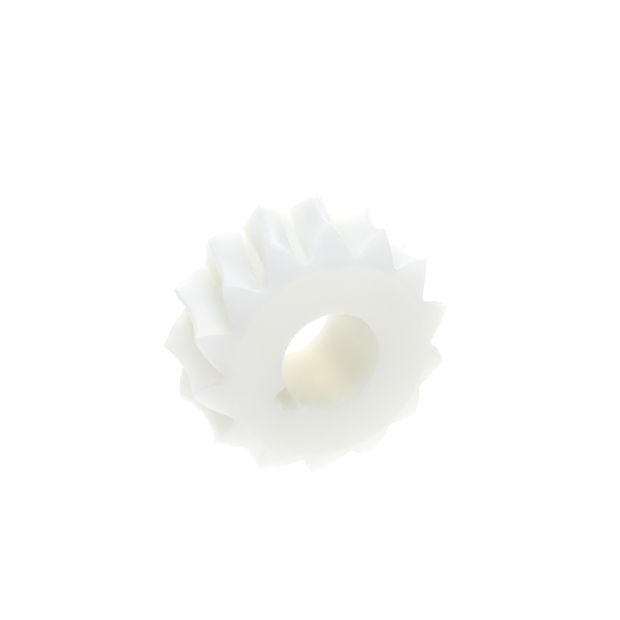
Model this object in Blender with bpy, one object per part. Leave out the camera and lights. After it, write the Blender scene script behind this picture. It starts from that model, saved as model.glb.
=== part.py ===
"""Worm wheel moulded in one piece of natural nylon, with a plain bore and one keyway.

The axis lies along Y and passes through the origin, halfway between the two flat end faces.
The rim is throated to wrap round the worm and bevelled down to the end faces. Two teeth
straddle the lowest point, so the wheel stands on them.
"""
import math

import bmesh
import bpy
from mathutils import Matrix, Vector

MM = 0.001

# The teeth, and the worm that they are cut to mesh with
TOOTH_COUNT = 14
MODULE = 2.0 * MM
PRESSURE_ANGLE = math.radians(28.0)
LEAD_ANGLE = math.radians(12.3)
WORM_PITCH_RADIUS = 11.2 * MM
ADDENDUM = 1.0 * MODULE
DEDENDUM = 1.15 * MODULE
TOOTH_THINNING = 0.1 * MM
ROOT_FILLET = 0.5 * MM
CREST_HALF_WIDTH = 0.06 * MM

# The turned blank
OVERALL_LENGTH = 15.5 * MM
END_FACE_RADIUS = 12.7 * MM
RIM_RADIUS = 17.2 * MM
BORE_RADIUS = 6.35 * MM
BORE_CHAMFER = 0.3 * MM

# The keyway
KEYWAY_WIDTH = 3.175 * MM
KEYWAY_DEPTH = 1.6 * MM
KEYWAY_ANGLE = math.radians(-150.0)

# How finely the curves are divided
THROAT_STEPS = 10
BEVEL_STEPS = 5
FLANK_STEPS = 4
SEARCH_STEPS = 40
RUN_OUT_DEPTH = 0.1 * MM
CUTTER_MARGIN = 1.0 * MM

PITCH = 2.0 * math.pi / TOOTH_COUNT
PITCH_RADIUS = 0.5 * MODULE * TOOTH_COUNT
CENTRE_DISTANCE = PITCH_RADIUS + WORM_PITCH_RADIUS
THROAT_ARC = WORM_PITCH_RADIUS - ADDENDUM
ROOT_ARC = WORM_PITCH_RADIUS + DEDENDUM
HALF_LENGTH = 0.5 * OVERALL_LENGTH
RIM_HALF_WIDTH = math.sqrt(THROAT_ARC**2 - (CENTRE_DISTANCE - RIM_RADIUS)**2)
BEVEL_SLOPE = (RIM_RADIUS - END_FACE_RADIUS) / (HALF_LENGTH - RIM_HALF_WIDTH)


def wrapped_radius(arc, y):
    """Distance from the wheel's axis to a circle of radius arc drawn round the worm's axis."""
    return CENTRE_DISTANCE - math.sqrt(arc**2 - y**2)


def involute(angle):
    return math.tan(angle) - angle


def tooth_half_angle(radius, y):
    """Half the angle that a tooth fills at a radius, in the plane at y.

    The worm's thread is straight-sided, so its section grows thinner and steeper away from y = 0.
    """
    thread_radius = math.hypot(WORM_PITCH_RADIUS, y)
    thread_thinning = (thread_radius - WORM_PITCH_RADIUS) * math.tan(PRESSURE_ANGLE)
    thread_angle = math.atan(math.tan(PRESSURE_ANGLE) * WORM_PITCH_RADIUS / thread_radius)
    half_angle_at_pitch = 0.25 * PITCH + (thread_thinning - 0.5 * TOOTH_THINNING) / PITCH_RADIUS
    base_radius = PITCH_RADIUS * math.cos(thread_angle)
    flank_angle = math.acos(min(1.0, base_radius / radius))
    return half_angle_at_pitch + involute(thread_angle) - involute(flank_angle)


def on_wheel(radius, angle, y):
    """A point at an angle that runs from +X towards +Z."""
    return Vector((radius * math.cos(angle), y, radius * math.sin(angle)))


def twist(y):
    """How far the teeth have turned about the axis at y: a right-hand helix."""
    return -y * math.tan(LEAD_ANGLE) / PITCH_RADIUS


def blank_radius(y):
    """Radius of the turned blank: the throat's curve, then the straight bevel."""
    if abs(y) <= RIM_HALF_WIDTH:
        return wrapped_radius(THROAT_ARC, y)
    return RIM_RADIUS - BEVEL_SLOPE * (abs(y) - RIM_HALF_WIDTH)


def last_true(test, low, high):
    """The value where the test stops passing, between a low one that passes and a high one."""
    for _ in range(SEARCH_STEPS):
        middle = 0.5 * (low + high)
        if test(middle):
            low = middle
        else:
            high = middle
    return low


def crest_radius(y):
    """Radius of the tooth's crest, which is lower than the blank where the tooth comes to a point."""
    def still_wide(radius):
        return tooth_half_angle(radius, y) * radius > CREST_HALF_WIDTH
    return last_true(still_wide, wrapped_radius(ROOT_ARC, y), blank_radius(y))


def run_out():
    """The plane where the tooth spaces come out on the bevel."""
    def still_deep(y):
        return blank_radius(y) - wrapped_radius(ROOT_ARC, y) > RUN_OUT_DEPTH
    return last_true(still_deep, RIM_HALF_WIDTH, HALF_LENGTH)


def tooth_space(y):
    """One tooth space in the plane at y, down one flank and up the other, as (radius, angle)."""
    crest = crest_radius(y)
    root = wrapped_radius(ROOT_ARC, y)
    foot = min(root + ROOT_FILLET, 0.5 * (root + crest))
    radii = [crest + (foot - crest) * step / FLANK_STEPS for step in range(FLANK_STEPS + 1)]
    flank = [(radius, 0.5 * PITCH - tooth_half_angle(radius, y)) for radius in radii]
    flank.append((root, flank[-1][1] - (foot - root) / root))
    return [(radius, -half_angle) for radius, half_angle in flank] + flank[::-1]


def toothed_ring(y):
    """All the tooth spaces in the plane at y. One of them is at the lowest point at y = 0."""
    centres = [twist(y) - 0.5 * math.pi + PITCH * index for index in range(TOOTH_COUNT)]
    space = tooth_space(y)
    return [on_wheel(radius, centre + angle, y) for centre in centres for radius, angle in space]


def plain_ring(radius, y):
    """A circle with as many points as a toothed ring, turned with the teeth."""
    count = len(toothed_ring(0.0))
    start = twist(y) - 0.5 * math.pi - 0.5 * PITCH
    return [on_wheel(radius, start + 2.0 * math.pi * (index + 0.5) / count, y) for index in range(count)]


def new_mesh(name, bm):
    bmesh.ops.recalc_face_normals(bm, faces=bm.faces)
    mesh = bpy.data.meshes.new(name)
    bm.to_mesh(mesh)
    bm.free()
    return mesh


def add_object(name, mesh):
    obj = bpy.data.objects.new(name, mesh)
    bpy.context.scene.collection.objects.link(obj)
    return obj


def stations():
    """The planes of the toothed rings, from the back run-out to the front one."""
    steps = range(1, BEVEL_STEPS + 1)
    bevel = [RIM_HALF_WIDTH + (run_out() - RIM_HALF_WIDTH) * step / BEVEL_STEPS for step in steps]
    throat = [RIM_HALF_WIDTH * (1.0 - 2.0 * step / THROAT_STEPS) for step in range(THROAT_STEPS + 1)]
    return bevel[::-1] + throat + [-y for y in bevel]


def make_wheel_mesh():
    """Closed skin of rings: the toothed rim, the front end face, the bore and the back end face."""
    chamfered = BORE_RADIUS + BORE_CHAMFER
    rings = [toothed_ring(y) for y in stations()]
    rings += [plain_ring(END_FACE_RADIUS, -HALF_LENGTH), plain_ring(chamfered, -HALF_LENGTH)]
    rings += [plain_ring(BORE_RADIUS, BORE_CHAMFER - HALF_LENGTH)]
    rings += [plain_ring(BORE_RADIUS, HALF_LENGTH - BORE_CHAMFER)]
    rings += [plain_ring(chamfered, HALF_LENGTH), plain_ring(END_FACE_RADIUS, HALF_LENGTH)]
    bm = bmesh.new()
    loops = [[bm.verts.new(point) for point in ring] for ring in rings]
    for number, loop in enumerate(loops):
        previous = loops[number - 1]
        for index in range(len(loop)):
            bm.faces.new((previous[index - 1], previous[index], loop[index], loop[index - 1]))
    bmesh.ops.triangulate(bm, faces=bm.faces)
    return new_mesh("worm_wheel", bm)


def make_keyway_mesh():
    """Box that reaches from inside the bore to the keyway's floor, and past both end faces."""
    inner = 0.5 * BORE_RADIUS
    outer = BORE_RADIUS + KEYWAY_DEPTH
    size = (outer - inner, OVERALL_LENGTH + 2.0 * CUTTER_MARGIN, KEYWAY_WIDTH)
    bm = bmesh.new()
    bmesh.ops.create_cube(bm, size=1.0)
    bmesh.ops.scale(bm, vec=size, verts=bm.verts)
    bmesh.ops.translate(bm, vec=(0.5 * (inner + outer), 0.0, 0.0), verts=bm.verts)
    return new_mesh("keyway_cutter", bm)


def make_keyway_cutter():
    keyway = add_object("keyway_cutter", make_keyway_mesh())
    keyway.matrix_world = Matrix.Rotation(-KEYWAY_ANGLE, 4, "Y")
    keyway.hide_render = True
    keyway.display_type = "WIRE"
    return keyway


def cut(obj, cutter):
    modifier = obj.modifiers.new("keyway", "BOOLEAN")
    modifier.operation = "DIFFERENCE"
    modifier.object = cutter
    modifier.solver = "EXACT"


def natural_nylon():
    material = bpy.data.materials.new("natural_nylon")
    material.use_nodes = True
    shader = material.node_tree.nodes["Principled BSDF"]
    shader.inputs["Base Color"].default_value = (0.86, 0.86, 0.79, 1.0)
    shader.inputs["Roughness"].default_value = 0.4
    shader.inputs["Metallic"].default_value = 0.0
    return material


def main():
    for obj in list(bpy.data.objects):
        bpy.data.objects.remove(obj)
    wheel = add_object("worm_wheel", make_wheel_mesh())
    wheel.data.materials.append(natural_nylon())
    wheel.data.shade_smooth()
    wheel.data.set_sharp_from_angle(angle=math.radians(20.0))
    cut(wheel, make_keyway_cutter())


main()
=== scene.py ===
"""Looks of a moulded nylon worm wheel: a fine mesh of its teeth, rim and keyed bore, and its material."""
import math

import bpy
import numpy as np
from mathutils import Matrix, Vector


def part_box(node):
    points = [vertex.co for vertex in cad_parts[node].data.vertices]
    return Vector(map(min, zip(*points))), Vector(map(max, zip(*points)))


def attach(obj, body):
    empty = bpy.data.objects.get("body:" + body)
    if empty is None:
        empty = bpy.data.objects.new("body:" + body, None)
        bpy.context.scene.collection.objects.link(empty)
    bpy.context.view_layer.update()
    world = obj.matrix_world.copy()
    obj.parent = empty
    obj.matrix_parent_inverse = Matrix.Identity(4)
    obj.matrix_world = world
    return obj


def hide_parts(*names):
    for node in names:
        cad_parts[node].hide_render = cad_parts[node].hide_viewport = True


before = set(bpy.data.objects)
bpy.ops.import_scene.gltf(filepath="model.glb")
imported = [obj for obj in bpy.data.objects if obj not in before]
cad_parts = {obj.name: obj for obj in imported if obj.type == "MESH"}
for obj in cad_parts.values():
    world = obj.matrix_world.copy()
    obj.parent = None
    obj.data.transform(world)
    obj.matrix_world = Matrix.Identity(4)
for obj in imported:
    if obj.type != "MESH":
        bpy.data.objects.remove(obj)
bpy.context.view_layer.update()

MM = 0.001

# The teeth and the worm that they are cut for, as the CAD part has them
TOOTH_COUNT = 14
MODULE = 2.0 * MM
PRESSURE_ANGLE = math.radians(28.0)
LEAD_ANGLE = math.radians(12.3)
WORM_PITCH_RADIUS = 11.2 * MM
ADDENDUM = 1.0 * MODULE
DEDENDUM = 1.15 * MODULE
TOOTH_THINNING = 0.1 * MM
BORE_RADIUS = 6.35 * MM
KEYWAY_WIDTH = 3.175 * MM
KEYWAY_DEPTH = 1.6 * MM
KEYWAY_ANGLE = math.radians(-150.0)
END_FACE_RADIUS = 12.7 * MM
RIM_RADIUS = 17.2 * MM
TIP_RADIUS = 17.05 * MM

# Sizes read from the frame
LOW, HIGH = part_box("worm_wheel")
HALF_LENGTH = 0.5 * (HIGH.y - LOW.y)
FLOOR_Z = LOW.z

# How softly the moulded edges are rounded
CREST_ROUND = 0.10 * MM
ROOT_ROUND = 0.45 * MM
FACE_EDGE_ROUND = 0.35 * MM
BORE_EDGE_ROUND = 0.20 * MM
KEYWAY_CORNER_ROUND = 0.24 * MM

# How finely the surface is divided, and how finely the curves that it follows are sampled
COLUMNS_PER_TOOTH = 44
THROAT_ROWS = 32
BEVEL_ROWS = 23
EDGE_ROWS = 5
FACE_ROWS = 8
BORE_ROWS = 14
FLANK_SAMPLES = 400
SPACE_SAMPLES = 4001
ARC_SAMPLES = 400
OUTLINE_SAMPLES = 6000

# The nylon, with noise scales in cycles per metre
NYLON_COLOUR = (0.905, 0.90, 0.845, 1.0)
NYLON_CLOUD_COLOUR = (0.895, 0.885, 0.82, 1.0)
ROUGHNESS = (0.30, 0.42)
SCATTER_RADIUS = (1.0, 1.0, 0.75)
SCATTER_SCALE = 12.0 * MM
NYLON_IOR = 1.53
CLOUD_NOISE = 170.0
ROUGHNESS_NOISE = 600.0
RIPPLE_NOISE = 450.0
RIPPLE_STRENGTH = 0.35
RIPPLE_HEIGHT = 0.03 * MM
GRAIN_NOISE = 3500.0
GRAIN_STRENGTH = 0.25
GRAIN_HEIGHT = 0.006 * MM

# The studio, with each softbox's direction from the wheel, power and colour
WORLD_COLOUR = (1.0, 1.0, 1.0, 1.0)
WORLD_STRENGTH = 0.5
FLOOR_HALF_SIZE = 3.0
FLOOR_GREY = 0.05
FLOOR_ROUGHNESS = 0.9
FLOOR_GLOW = 1.0
SOFTBOX_DISTANCE = 0.6
SOFTBOX_SIZE = 0.4
SOFTBOXES = (
    ("overhead_softbox", (0.0, 0.0, 1.0), 1.80, (0.63, 0.75, 1.0)),
    ("back_softbox", (0.0, 0.8, 0.7), 0.76, (1.0, 0.86, 0.48)),
    ("back_right_softbox", (0.7, 0.7, 0.3), 0.48, (1.0, 0.95, 0.86)),
)

# The camera's direction from the wheel, roll, distance and lens, and how far off the wheel it aims
CAMERA_AZIMUTH = math.radians(-19.56)
CAMERA_ELEVATION = math.radians(28.73)
CAMERA_ROLL = math.radians(5.96)
CAMERA_DISTANCE = 0.375
CAMERA_LENS = 177.4
SENSOR_WIDTH = 36.0
CLIP_START = 0.01
AIM_RIGHT = 0.41 * MM
AIM_UP = 3.06 * MM

PITCH = 2.0 * math.pi / TOOTH_COUNT
PITCH_RADIUS = 0.5 * MODULE * TOOTH_COUNT
CENTRE_DISTANCE = PITCH_RADIUS + WORM_PITCH_RADIUS
THROAT_ARC = WORM_PITCH_RADIUS - ADDENDUM
ROOT_ARC = WORM_PITCH_RADIUS + DEDENDUM
RIM_HALF_WIDTH = math.sqrt(THROAT_ARC**2 - (CENTRE_DISTANCE - RIM_RADIUS) ** 2)
BEVEL_SLOPE = (RIM_RADIUS - END_FACE_RADIUS) / (HALF_LENGTH - RIM_HALF_WIDTH)
COLUMNS = TOOTH_COUNT * COLUMNS_PER_TOOTH


def make_camera():
    """A long lens, rolled a little and aimed above the wheel."""
    horizontal = math.cos(CAMERA_ELEVATION)
    across = math.sin(CAMERA_AZIMUTH) * horizontal
    forward = -math.cos(CAMERA_AZIMUTH) * horizontal
    back = Vector((across, forward, math.sin(CAMERA_ELEVATION)))
    level_right = Vector((0.0, 0.0, 1.0)).cross(back).normalized()
    level_up = back.cross(level_right)
    right = level_right * math.cos(CAMERA_ROLL) - level_up * math.sin(CAMERA_ROLL)
    up = level_up * math.cos(CAMERA_ROLL) + level_right * math.sin(CAMERA_ROLL)
    data = bpy.data.cameras.new("camera")
    data.lens = CAMERA_LENS
    data.sensor_width = SENSOR_WIDTH
    data.clip_start = CLIP_START
    camera = bpy.data.objects.new("camera", data)
    bpy.context.scene.collection.objects.link(camera)
    place = right * AIM_RIGHT + up * AIM_UP + back * CAMERA_DISTANCE
    axes = Matrix((right, up, back)).transposed().to_4x4()
    camera.matrix_world = Matrix.Translation(place) @ axes
    bpy.context.scene.camera = camera


def wrapped_radius(arc, y):
    """Distance from the wheel's axis to a circle of radius arc drawn round the worm's axis."""
    return CENTRE_DISTANCE - np.sqrt(arc**2 - np.square(y))


def involute(angle):
    """Polar angle of an involute where its pressure angle is angle."""
    return np.tan(angle) - angle


def space_half_angle(radius, y):
    """Half the angle of a tooth space at a radius, in the plane at y."""
    thread_radius = math.hypot(WORM_PITCH_RADIUS, y)
    thread_thinning = (thread_radius - WORM_PITCH_RADIUS) * math.tan(PRESSURE_ANGLE)
    thread_angle = math.atan(math.tan(PRESSURE_ANGLE) * WORM_PITCH_RADIUS / thread_radius)
    flank_angle = np.arccos(np.minimum(1.0, PITCH_RADIUS * math.cos(thread_angle) / radius))
    space_at_pitch = 0.25 * PITCH - (thread_thinning - 0.5 * TOOTH_THINNING) / PITCH_RADIUS
    return space_at_pitch - involute(thread_angle) + involute(flank_angle)


def soft_min(a, b, width):
    """The lower of two heights, with the corner between them rounded over width."""
    return 0.5 * (a + b - np.sqrt(np.square(a - b) + width**2))


def gash_radius(angle, y):
    """Radius of a tooth space's surface at an angle from its centre line, in the plane at y."""
    root = float(wrapped_radius(ROOT_ARC, y))
    radii = np.linspace(root - 1.0 * MM, root + 9.0 * MM, FLANK_SAMPLES)
    # The tiny ramp keeps the angles rising inside the base circle, where they are all alike
    half_angles = space_half_angle(radii, y) + np.linspace(0.0, 1e-6, FLANK_SAMPLES)
    flank = np.interp(np.abs(angle), half_angles, radii)
    return -soft_min(-flank, -root, ROOT_ROUND)


def column_angles():
    """Angles across one tooth space, from crest to crest, closer together where the flank is steep."""
    fine = np.linspace(-0.5 * PITCH, 0.5 * PITCH, SPACE_SAMPLES)
    crest = float(wrapped_radius(THROAT_ARC, 0.0))
    radius = soft_min(crest, gash_radius(fine, 0.0), CREST_ROUND)
    steps = np.hypot(np.diff(radius), crest * np.diff(fine))
    length = np.concatenate(([0.0], np.cumsum(steps)))
    wanted = np.linspace(0.0, length[-1], COLUMNS_PER_TOOTH + 1)[:-1]
    return np.interp(wanted, length, fine)


def blank_rows():
    """The blank's outer section from its middle to the edge of an end face, as (radius, y) points."""
    throat_y = RIM_HALF_WIDTH * np.sin(np.linspace(0.0, 0.5 * math.pi, THROAT_ROWS))
    throat = [(float(wrapped_radius(THROAT_ARC, y)), y) for y in throat_y]
    bevel_y = np.linspace(RIM_HALF_WIDTH, HALF_LENGTH - FACE_EDGE_ROUND / BEVEL_SLOPE, BEVEL_ROWS)[1:]
    bevel = [(RIM_RADIUS - BEVEL_SLOPE * (y - RIM_HALF_WIDTH), y) for y in bevel_y]
    return throat + bevel


def resample(points, count):
    """Points spaced evenly along a closed outline."""
    closed = np.vstack((points, points[:1]))
    length = np.concatenate(([0.0], np.cumsum(np.hypot(*np.diff(closed, axis=0).T))))
    wanted = np.linspace(0.0, length[-1], count + 1)[:-1]
    return np.column_stack([np.interp(wanted, length, closed[:, axis]) for axis in (0, 1)])


def smooth_loop(points, width):
    """Rounds the corners of a closed outline by averaging along it, then spaces its points evenly."""
    dense = resample(points, OUTLINE_SAMPLES)
    spacing = float(np.hypot(*(dense[1] - dense[0])))
    reach = int(3.0 * width / spacing)
    shifts = np.arange(-reach, reach + 1)
    weights = np.exp(-0.5 * np.square(shifts * spacing / width))
    weights /= weights.sum()
    rounded = sum(weight * np.roll(dense, shift, axis=0) for weight, shift in zip(weights, shifts))
    return resample(rounded, COLUMNS)


def bore_outline():
    """The keyed bore's outline as (x, z) points, starting opposite the keyway."""
    half_width = 0.5 * KEYWAY_WIDTH
    mouth = math.asin(half_width / BORE_RADIUS)
    floor = BORE_RADIUS + KEYWAY_DEPTH
    before = np.linspace(-math.pi, -mouth, ARC_SAMPLES)
    after = np.linspace(mouth, math.pi, ARC_SAMPLES)[:-1]
    arc_before = BORE_RADIUS * np.column_stack((np.cos(before), np.sin(before)))
    arc_after = BORE_RADIUS * np.column_stack((np.cos(after), np.sin(after)))
    keyway = np.array(((floor, -half_width), (floor, half_width)))
    outline = smooth_loop(np.vstack((arc_before, keyway, arc_after)), KEYWAY_CORNER_ROUND)
    cosine, sine = math.cos(KEYWAY_ANGLE), math.sin(KEYWAY_ANGLE)
    return outline @ np.array(((cosine, sine), (-sine, cosine)))


def outward(outline):
    """Unit normals of an outline that runs anticlockwise, pointing away from the hole."""
    along = np.roll(outline, -1, axis=0) - np.roll(outline, 1, axis=0)
    normal = np.column_stack((along[:, 1], -along[:, 0]))
    return normal / np.linalg.norm(normal, axis=1)[:, None]


def ring_at(points, y):
    """A ring of (x, y, z) points from an outline of (x, z) points."""
    return np.column_stack((points[:, 0], np.full(len(points), y), points[:, 1]))


def circle_at(angles, y):
    """The columns' unit directions at y, where the teeth have turned along the helix."""
    turned = angles - y * math.tan(LEAD_ANGLE) / PITCH_RADIUS
    return np.column_stack((np.cos(turned), np.sin(turned)))


def outer_ring(radius, y, columns, angles):
    """One ring of the toothed surface."""
    space = np.tile(columns, TOOTH_COUNT)
    height = soft_min(soft_min(radius, gash_radius(space, y), CREST_ROUND), TIP_RADIUS, CREST_ROUND)
    return ring_at(circle_at(angles, y) * height[:, None], y)


def end_rings(side, angles, outline, normals):
    """Rings from the bevel's foot round the face's edge, across the flat face and into the bore."""
    y_face = side * HALF_LENGTH
    foot_y = FACE_EDGE_ROUND / BEVEL_SLOPE
    circle = circle_at(angles, y_face)
    rings = []
    for step in range(1, EDGE_ROWS + 1):
        part = step / EDGE_ROWS
        radius = END_FACE_RADIUS + FACE_EDGE_ROUND * (1.0 - part) ** 2 - FACE_EDGE_ROUND * part**2
        y = y_face - side * foot_y * (1.0 - part) ** 2
        rings.append(ring_at(circle * radius, y))
    outer = circle * (END_FACE_RADIUS - FACE_EDGE_ROUND)
    inner = outline + normals * BORE_EDGE_ROUND
    for step in range(1, FACE_ROWS):
        part = step / FACE_ROWS
        rings.append(ring_at(outer * (1.0 - part) + inner * part, y_face))
    for step in range(EDGE_ROWS + 1):
        turn = 0.5 * math.pi * step / EDGE_ROWS
        offset = BORE_EDGE_ROUND * (1.0 - math.sin(turn))
        y = y_face - side * BORE_EDGE_ROUND * (1.0 - math.cos(turn))
        rings.append(ring_at(outline + normals * offset, y))
    return rings


def wheel_rings():
    """All the rings of the wheel's closed surface, from the throat's middle round through the bore."""
    columns = column_angles()
    centres = -0.5 * math.pi + PITCH * np.arange(TOOTH_COUNT)
    angles = (centres[:, None] + columns[None, :]).ravel()
    outline = bore_outline()
    # The columns are lined up on the keyway's middle, so that none of them crosses its walls
    away_from_keyway = np.angle(np.exp(1j * (angles - KEYWAY_ANGLE)))
    outline = np.roll(outline, int(np.argmin(np.abs(away_from_keyway))) - COLUMNS // 2, axis=0)
    normals = outward(outline)
    section = blank_rows()
    back = [outer_ring(radius, y, columns, angles) for radius, y in section]
    front = [outer_ring(radius, -y, columns, angles) for radius, y in section[:0:-1]]
    back += end_rings(1.0, angles, outline, normals)
    front_end = end_rings(-1.0, angles, outline, normals)[::-1]
    depth = HALF_LENGTH - BORE_EDGE_ROUND
    bore = [ring_at(outline, y) for y in np.linspace(depth, -depth, BORE_ROWS + 2)[1:-1]]
    return back + bore + front_end + front


def make_wheel():
    """Joins each ring to the next, and the last to the first, into one closed skin."""
    rings = wheel_rings()
    verts = np.vstack(rings)
    faces = []
    for row in range(len(rings)):
        low = row * COLUMNS
        high = ((row + 1) % len(rings)) * COLUMNS
        for column in range(COLUMNS):
            after = (column + 1) % COLUMNS
            faces.append((low + column, high + column, high + after, low + after))
    mesh = bpy.data.meshes.new("wheel_moulding")
    mesh.from_pydata(verts.tolist(), [], faces)
    mesh.validate()
    mesh.shade_smooth()
    wheel = bpy.data.objects.new("wheel_moulding", mesh)
    bpy.context.scene.collection.objects.link(wheel)
    return wheel


def add_noise(tree, place, scale, detail):
    """A noise over the surface, between 0 and 1."""
    noise = tree.nodes.new("ShaderNodeTexNoise")
    noise.inputs["Scale"].default_value = scale
    noise.inputs["Detail"].default_value = detail
    tree.links.new(place, noise.inputs["Vector"])
    return noise.outputs["Fac"]


def add_range(tree, value, low, high):
    """Stretches the middle of a noise to run from low to high."""
    stretch = tree.nodes.new("ShaderNodeMapRange")
    stretch.inputs["From Min"].default_value = 0.3
    stretch.inputs["From Max"].default_value = 0.7
    stretch.inputs["To Min"].default_value = low
    stretch.inputs["To Max"].default_value = high
    tree.links.new(value, stretch.inputs["Value"])
    return stretch.outputs["Result"]


def add_bump(tree, height, strength, distance):
    """A bump node that raises the surface where height is large."""
    bump = tree.nodes.new("ShaderNodeBump")
    bump.inputs["Strength"].default_value = strength
    bump.inputs["Distance"].default_value = distance
    tree.links.new(height, bump.inputs["Height"])
    return bump


def nylon_material():
    """Milky nylon that light soaks into, faintly clouded, with the fine grain of a mould's wall."""
    material = bpy.data.materials.new("natural_nylon_fine")
    material.use_nodes = True
    tree = material.node_tree
    shader = tree.nodes["Principled BSDF"]
    shader.inputs["IOR"].default_value = NYLON_IOR
    shader.inputs["Subsurface Weight"].default_value = 1.0
    shader.inputs["Subsurface Radius"].default_value = SCATTER_RADIUS
    shader.inputs["Subsurface Scale"].default_value = SCATTER_SCALE
    place = tree.nodes.new("ShaderNodeTexCoord").outputs["Object"]
    tint = tree.nodes.new("ShaderNodeMix")
    tint.data_type = "RGBA"
    tint.inputs["A"].default_value = NYLON_COLOUR
    tint.inputs["B"].default_value = NYLON_CLOUD_COLOUR
    cloud = add_range(tree, add_noise(tree, place, CLOUD_NOISE, 3.0), 0.0, 1.0)
    tree.links.new(cloud, tint.inputs["Factor"])
    tree.links.new(tint.outputs["Result"], shader.inputs["Base Color"])
    rough = add_range(tree, add_noise(tree, place, ROUGHNESS_NOISE, 4.0), *ROUGHNESS)
    tree.links.new(rough, shader.inputs["Roughness"])
    ripple = add_bump(tree, add_noise(tree, place, RIPPLE_NOISE, 2.0), RIPPLE_STRENGTH, RIPPLE_HEIGHT)
    grain = add_bump(tree, add_noise(tree, place, GRAIN_NOISE, 2.0), GRAIN_STRENGTH, GRAIN_HEIGHT)
    tree.links.new(ripple.outputs["Normal"], grain.inputs["Normal"])
    tree.links.new(grain.outputs["Normal"], shader.inputs["Normal"])
    return material


def make_floor():
    """A white sheet that glows a little, so that it stays white under the wheel."""
    mesh = bpy.data.meshes.new("floor")
    signs = ((-1.0, -1.0), (1.0, -1.0), (1.0, 1.0), (-1.0, 1.0))
    corners = [(x * FLOOR_HALF_SIZE, y * FLOOR_HALF_SIZE, FLOOR_Z) for x, y in signs]
    mesh.from_pydata(corners, [], [(0, 1, 2, 3)])
    floor = bpy.data.objects.new("floor", mesh)
    bpy.context.scene.collection.objects.link(floor)
    material = bpy.data.materials.new("white_sheet")
    material.use_nodes = True
    shader = material.node_tree.nodes["Principled BSDF"]
    shader.inputs["Base Color"].default_value = (FLOOR_GREY, FLOOR_GREY, FLOOR_GREY, 1.0)
    shader.inputs["Roughness"].default_value = FLOOR_ROUGHNESS
    shader.inputs["Emission Color"].default_value = (1.0, 1.0, 1.0, 1.0)
    shader.inputs["Emission Strength"].default_value = FLOOR_GLOW
    mesh.materials.append(material)


def make_lights():
    """An even white studio, and a few square softboxes that face the wheel."""
    world = bpy.data.worlds.new("studio")
    bpy.context.scene.world = world
    world.use_nodes = True
    sky = world.node_tree.nodes["Background"]
    sky.inputs["Color"].default_value = WORLD_COLOUR
    sky.inputs["Strength"].default_value = WORLD_STRENGTH
    for name, direction, energy, colour in SOFTBOXES:
        data = bpy.data.lights.new(name, "AREA")
        data.shape = "SQUARE"
        data.size = SOFTBOX_SIZE
        data.energy = energy
        data.color = colour
        softbox = bpy.data.objects.new(name, data)
        bpy.context.scene.collection.objects.link(softbox)
        softbox.location = Vector(direction).normalized() * SOFTBOX_DISTANCE
        softbox.rotation_euler = (-softbox.location).to_track_quat("-Z", "Y").to_euler()


make_camera()
wheel = make_wheel()
wheel.data.materials.append(nylon_material())
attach(wheel, "root")
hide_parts("worm_wheel")
make_floor()
make_lights()
bpy.context.scene.view_settings.view_transform = "Standard"
